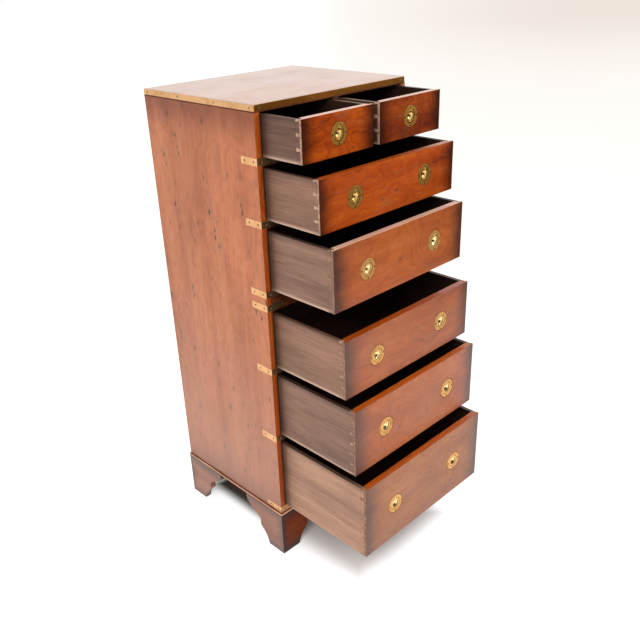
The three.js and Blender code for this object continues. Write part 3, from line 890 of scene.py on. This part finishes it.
def make_drawer(look, name, pull_places):
    own = {part: look[key] for part, key in looks_of(name).items() if part != "pull"}
    low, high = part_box(name)
    left = low.x + DRAWER_PLAY
    right = high.x - DRAWER_PLAY
    front = low.y
    back = high.y
    inner_left = left + LINING
    inner_right = right - LINING
    lap = front + LAP
    behind = front + FRONT + MM
    whole = block("front", (left, front, low.z), (right, front + FRONT, high.z))
    corners = [
        block("corner", (left - MM, lap, low.z - MM), (inner_left, behind, high.z + MM)),
        block("corner", (inner_right, lap, low.z - MM), (right + MM, behind, high.z + MM)),
    ]
    pockets = [pull_pocket(place) for place in pull_places]
    board = softened(carved(carved(whole, corners), pockets), 0.6 * MM)
    middle = (left + right) / 2
    end_distance = (right - left) / 2 - MM

    def at_end(face):
        return abs(face.center.x - middle) > end_distance

    def at_upright_edge(face):
        return abs(face.normal.x) > 0.3 and abs(face.normal.z) < 0.3 and at_end(face)

    repaint(board, 2, lambda face: face.normal.z > 0.9 and face.center.z > high.z - MM)
    repaint(board, 3, lambda face: face.normal.y > 0.9)
    repaint(board, 4, lambda face: abs(face.normal.x) > 0.9 and at_end(face))
    # The upright arrises at the front's ends get painted shade
    repaint(board, 5, at_upright_edge, 1)
    place_piece(f"{name}_front", board, name,
                [own["front"], own["edge"], own["top"], look["inside"], own["end"], look["painted_shade"]],
                "X", [name])
    top = high.z - LINING_TOP_STEP
    for end, outer, inner in (("left", left, inner_left), ("right", right, inner_right)):
        lining = softened(lining_mesh(outer, inner, front, back, low.z, top), 0.35 * MM)
        repaint(lining, 2, lambda face: face.normal.x * (outer - inner) < 0 and abs(face.normal.x) > 0.9)
        place_piece(f"{name}_lining_{end}", lining, name,
                    [own["lining"], look["dark_edge"], look["inside"]], "Y")
        pins = softened(pins_mesh(outer, inner, front, low.z, top), 0.15 * MM, 1)
        place_piece(f"{name}_pins_{end}", pins, name, [own["pin"], own["pin"]], "X")
    floor = low.z + BOTTOM_LIFT
    tail = block("back", (inner_left, back - LINING, floor), (inner_right, back, high.z - BACK_TOP_STEP))
    place_piece(f"{name}_back", softened(tail, 0.35 * MM), name,
                [look["inside"], look["dark_edge"]], "X")
    bottom = block("bottom", (inner_left - BOTTOM_GROOVE, front + FRONT - BOTTOM_GROOVE, floor),
                   (inner_right + BOTTOM_GROOVE, back - MM, floor + BOTTOM_THICKNESS))
    place_piece(f"{name}_bottom", softened(bottom, 0.2 * MM, 1), name,
                [look["inside"], look["inside"]], "X")


# Ring pulls, made about the Y axis with the drawer's face at y = 0

DISH_LIP = 2.8 * MM
DISH_SAG = 4.4 * MM
DISH_STEPS = 12
PLATE_SLOT_HALF = 3.1 * MM
PLATE_SCREW_RADIUS = 1.75 * MM
PLATE_SCREW_RING = 19.3 * MM
RING_RADIUS = 11.85 * MM
RING_HALF_WIDTH = 1.85 * MM
RING_HALF_DEPTH = 1.1 * MM
RING_DEPTH = 1.3 * MM
RING_SQUARENESS = 0.7
RING_STEPS = 16
LUG_HALF = 2.4 * MM
BARREL_HALF = 2.8 * MM
BARREL_RADIUS = 1.2 * MM
BARREL_EASE = 0.3 * MM


def plate_mesh():
    """A plate with a finger dish, a recess for the ring and a stepped back, and its three screws."""
    dish = []
    for step in range(DISH_STEPS + 1):
        share = step / DISH_STEPS
        dish.append((DISH_RADIUS * share, DISH_LIP + DISH_SAG * (1 - share ** 2)))
    profile = [
        *dish,
        (10.0 * MM, 2.55 * MM),
        (10.4 * MM, DISH_LIP),
        (14.3 * MM, DISH_LIP),
        (RECESS_RADIUS, 2.6 * MM),
        (RECESS_RADIUS, 0.3 * MM),
        (14.8 * MM, 0.0),
        (22.3 * MM, 0.0),
        (22.85 * MM, 0.25 * MM),
        (PLATE_RADIUS, 0.7 * MM),
        (PLATE_RADIUS, PULL_FLANGE),
        (PULL_CUP_RADIUS, PULL_FLANGE),
        (PULL_CUP_RADIUS, 4.6 * MM),
        (11.5 * MM, PULL_CUP_DEPTH),
        (0, PULL_CUP_DEPTH),
    ]
    plate = turned("plate", profile, 72)
    slot = block("slot", (-PLATE_SLOT_HALF, -MM, 13.5 * MM), (PLATE_SLOT_HALF, 3 * MM, 17.4 * MM))
    places = [(-PLATE_SCREW_RING, 0, 0), (PLATE_SCREW_RING, 0, 0), (0, 0, -PLATE_SCREW_RING)]
    holes = [moved(screw_hole(PLATE_SCREW_RADIUS), place) for place in places]
    body = carved(plate, [slot, *holes])
    heads = [(moved(screw_head(PLATE_SCREW_RADIUS, chance.uniform(0, math.pi)), place), 2)
             for place in places]
    whole = joined("pull_plate", [(body, 0), *heads])
    repaint(whole, 1, lambda face: math.hypot(face.center.x, face.center.z) < DISH_RADIUS)
    repaint(whole, 3, lambda face: math.hypot(face.center.x, face.center.z) < RECESS_RADIUS)
    return whole


def rounded(value):
    """A cosine or sine drawn out, so that a circle made of them has flatter sides."""
    return math.copysign(abs(value) ** RING_SQUARENESS, value)


def ring_mesh():
    """The ring, its lug and its barrel, in place in the plate."""
    profile = []
    for step in range(RING_STEPS):
        angle = 2 * math.pi * step / RING_STEPS
        across = RING_RADIUS + RING_HALF_WIDTH * rounded(math.cos(angle))
        profile.append((across, RING_DEPTH + RING_HALF_DEPTH * rounded(math.sin(angle))))
    ring = turned("ring", profile, 72)
    lug = block("lug", (-LUG_HALF, 0.35 * MM, 13.0 * MM), (LUG_HALF, 2.3 * MM, 15.6 * MM))
    neck = BARREL_RADIUS - BARREL_EASE
    shoulder = BARREL_HALF - BARREL_EASE
    barrel = turned("barrel", [
        (0, -BARREL_HALF),
        (neck, -BARREL_HALF),
        (BARREL_RADIUS, -shoulder),
        (BARREL_RADIUS, shoulder),
        (neck, BARREL_HALF),
        (0, BARREL_HALF),
    ], 24)
    barrel.transform(Matrix.Rotation(math.radians(90), 4, "Z"))
    barrel.transform(Matrix.Translation((0, HINGE_DEPTH, HINGE_RISE)))
    return joined("pull_ring", [(ring, 0), (softened(lug, 0.4 * MM), 0), (barrel, 0)])


def make_pulls(look, name, pulls, plate, ring):
    low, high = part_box(name)
    # The upper drawers' pulls take the darker copies, painted shade
    tone = looks_of(name)["pull"]
    height = (low.z + high.z) / 2
    for suffix, x in pulls.items():
        place = (x, low.y, height)
        plate_node = f"{name}_pull_plate{suffix}"
        ring_node = f"{name}_pull_ring{suffix}"
        place_piece(f"{plate_node}_brass", moved(plate, place), name,
                    [look[f"{tone}plate"], look[f"{tone}dish"], look["pull_screw"], look[f"{tone}recess"]],
                    "X", [plate_node])
        place_piece(f"{ring_node}_brass", moved(ring, place), ring_node,
                    [look[f"{tone}ring"]], "X", [ring_node])


def make_drawers(look):
    plate = plate_mesh()
    ring = ring_mesh()
    for name in SHORT_DRAWERS + WIDE_DRAWERS:
        low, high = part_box(name)
        if name in WIDE_DRAWERS:
            pulls = {"_left": -PULL_OFFSET, "_right": PULL_OFFSET}
        else:
            pulls = {"": (low.x + high.x) / 2}
        height = (low.z + high.z) / 2
        make_drawer(look, name, [(x, low.y, height) for x in pulls.values()])
        make_pulls(look, name, pulls, plate, ring)


# Studio

# The camera's right and ahead in plan, and its distance from the chest along the latter
PLAN_RIGHT = (0.709, -0.705, 0)
PLAN_AHEAD = (0.694, 0.72, 0)
CAMERA_REACH = 1.67
WHITE = (1, 1, 1, 1)
BLACK = (0, 0, 0, 1)
WARM_GREY = (0.72, 0.66, 0.6, 1)
WARM_SHADE = (0.86, 0.72, 0.62, 1)
UNDER_SHADE = (0.1, 0.075, 0.06, 1)
UNDER_BACK = 30 * MM


def place_lamp(name, place, target, size, power):
    lamp = bpy.data.lights.new(name, "AREA")
    lamp.shape = "DISK"
    lamp.size = size
    lamp.energy = power
    holder = bpy.data.objects.new(name, lamp)
    bpy.context.scene.collection.objects.link(holder)
    holder.visible_camera = False
    holder.location = place
    holder.rotation_euler = (Vector(target) - Vector(place)).to_track_quat("-Z", "Y").to_euler()


def seen_directly(tree):
    """1 for what the camera sees itself, or in a reflection or through glass."""
    path = tree.nodes.new("ShaderNodeLightPath")
    level = path.outputs["Is Camera Ray"]
    for kind in ("Is Glossy Ray", "Is Transmission Ray"):
        either = tree.nodes.new("ShaderNodeMath")
        either.operation = "MAXIMUM"
        tree.links.new(level, either.inputs[0])
        tree.links.new(path.outputs[kind], either.inputs[1])
        level = either.outputs[0]
    return level


def add_world():
    world = bpy.data.worlds.new("studio")
    bpy.context.scene.world = world
    world.use_nodes = True
    tree = world.node_tree
    background = tree.nodes["Background"]
    background.inputs["Color"].default_value = WHITE
    strength = tree.nodes.new("ShaderNodeMapRange")
    strength.inputs["To Min"].default_value = 0.7
    strength.inputs["To Max"].default_value = 1.0
    tree.links.new(seen_directly(tree), strength.inputs["Value"])
    tree.links.new(strength.outputs[0], background.inputs["Strength"])


def outside_plan(s, place, low, high):
    """How far a point of the floor is outside the plan of a box, which is less than 0 inside it."""
    middle = ((low[0] + high[0]) / 2, (low[1] + high[1]) / 2, 0)
    half = ((high[0] - low[0]) / 2, (high[1] - low[1]) / 2, 0)
    offset = s.add("VectorMath", {0: place, 1: middle}, operation="SUBTRACT")
    size = s.add("VectorMath", {0: offset}, operation="ABSOLUTE")
    parts = s.add("SeparateXYZ", {0: s.add("VectorMath", {0: size, 1: half}, operation="SUBTRACT")})
    return s.math("MAXIMUM", parts, parts.node.outputs["Y"])


def backdrop_tint(s, place):
    """White, turning to a warm grey far off on the right, as the photograph's studio does."""
    aside = s.add("VectorMath", {0: place, 1: PLAN_RIGHT}, "Value", operation="DOT_PRODUCT")
    beyond = s.add("VectorMath", {0: place, 1: PLAN_AHEAD}, "Value", operation="DOT_PRODUCT")
    bearing = s.math("DIVIDE", aside, s.math("ADD", beyond, CAMERA_REACH))
    near_share = s.math("MULTIPLY", s.remap(bearing, -0.12, 0.06, 0.0, 0.5), s.remap(beyond, 0.0, 2.0))
    far_share = s.math("MULTIPLY", s.remap(bearing, -0.1, 0.35, 0.0, 0.5), s.remap(beyond, 3.0, 18.0))
    # The warm grey far off on the right is a painted shade
    return s.mix(s.math("ADD", near_share, far_share), WHITE, WARM_GREY)


def add_floor():
    """A pale floor, dark under the case, that glows a little to the camera away from the chest."""
    s = Shader("studio_floor")
    place = s.add("TexCoord", {}, "Object")
    tint = backdrop_tint(s, place)
    low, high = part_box("base_board")
    behind = high + Vector((0, UNDER_BACK, 0))
    outside_case = outside_plan(s, place, low, behind)
    outside_chest = outside_plan(s, place, *cad_box)
    # Painted shadow under the case, and a painted warm shade on the floor near the chest
    open_floor = s.remap(outside_case, -0.075, -0.035)
    bounced = s.remap(outside_chest, -0.1, -0.02, 0.4, 0.0)
    level = s.math("MULTIPLY_ADD", s.noise(place, scale=1.5), 0.02, 0.9)
    colour = s.mix(bounced, s.mix(level, BLACK, tint), WARM_SHADE)
    colour = s.mix(open_floor, UNDER_SHADE, colour)
    glow = s.math("MULTIPLY", s.remap(outside_chest, -0.11, -0.03, 0.0, 0.55), open_floor)
    glow = s.math("MULTIPLY", seen_directly(s.tree), glow)
    s.finish(Base_Color=colour, Roughness=0.9, Specular_IOR_Level=0.0, Emission_Color=tint,
             Emission_Strength=glow)
    floor = bpy.data.objects.new("studio_floor", block("studio_floor", (-30, -30, -0.02), (30, 30, 0)))
    floor.data.materials.append(s.material)
    bpy.context.scene.collection.objects.link(floor)


def add_flag(name, place, azimuth, width, height, low, high):
    """A dark studio card that only reflections see, paler near the floor."""
    s = Shader(name)
    across = s.add("SeparateXYZ", {0: s.add("TexCoord", {}, "Object")}).node.outputs["Z"]
    level = s.remap(across, 0.0, 0.35, low, high)
    colour = s.add("CombineColor", {0: level, 1: level, 2: level})
    s.finish(Base_Color=colour, Roughness=1.0, Specular_IOR_Level=0.0)
    card = bpy.data.objects.new(name, block(name, (-width / 2, 0, 0), (width / 2, 0.01, height)))
    card.data.materials.append(s.material)
    bpy.context.scene.collection.objects.link(card)
    card.location = place
    card.rotation_euler = (0, 0, math.radians(azimuth))
    card.visible_camera = False
    card.visible_diffuse = False
    card.visible_shadow = False


def add_studio():
    add_world()
    add_floor()
    add_flag("flag_front", place=(0.85, -1.25, 0.02), azimuth=44, width=3.0, height=1.2, low=0.9,
             high=0.02)
    place_lamp("key", place=(-2.6, -1.6, 2.8), target=(0, 0, 0.6), size=1.8, power=62)
    place_lamp("fill", place=(2.1, -1.7, 1.6), target=(0, -0.3, 0.6), size=1.2, power=28)
    bpy.context.scene.view_settings.view_transform = "Standard"


add_camera()
add_studio()
looks = build_materials()
make_case(looks)
make_edging(looks)
make_straps(looks)
make_feet(looks)
make_drawers(looks)
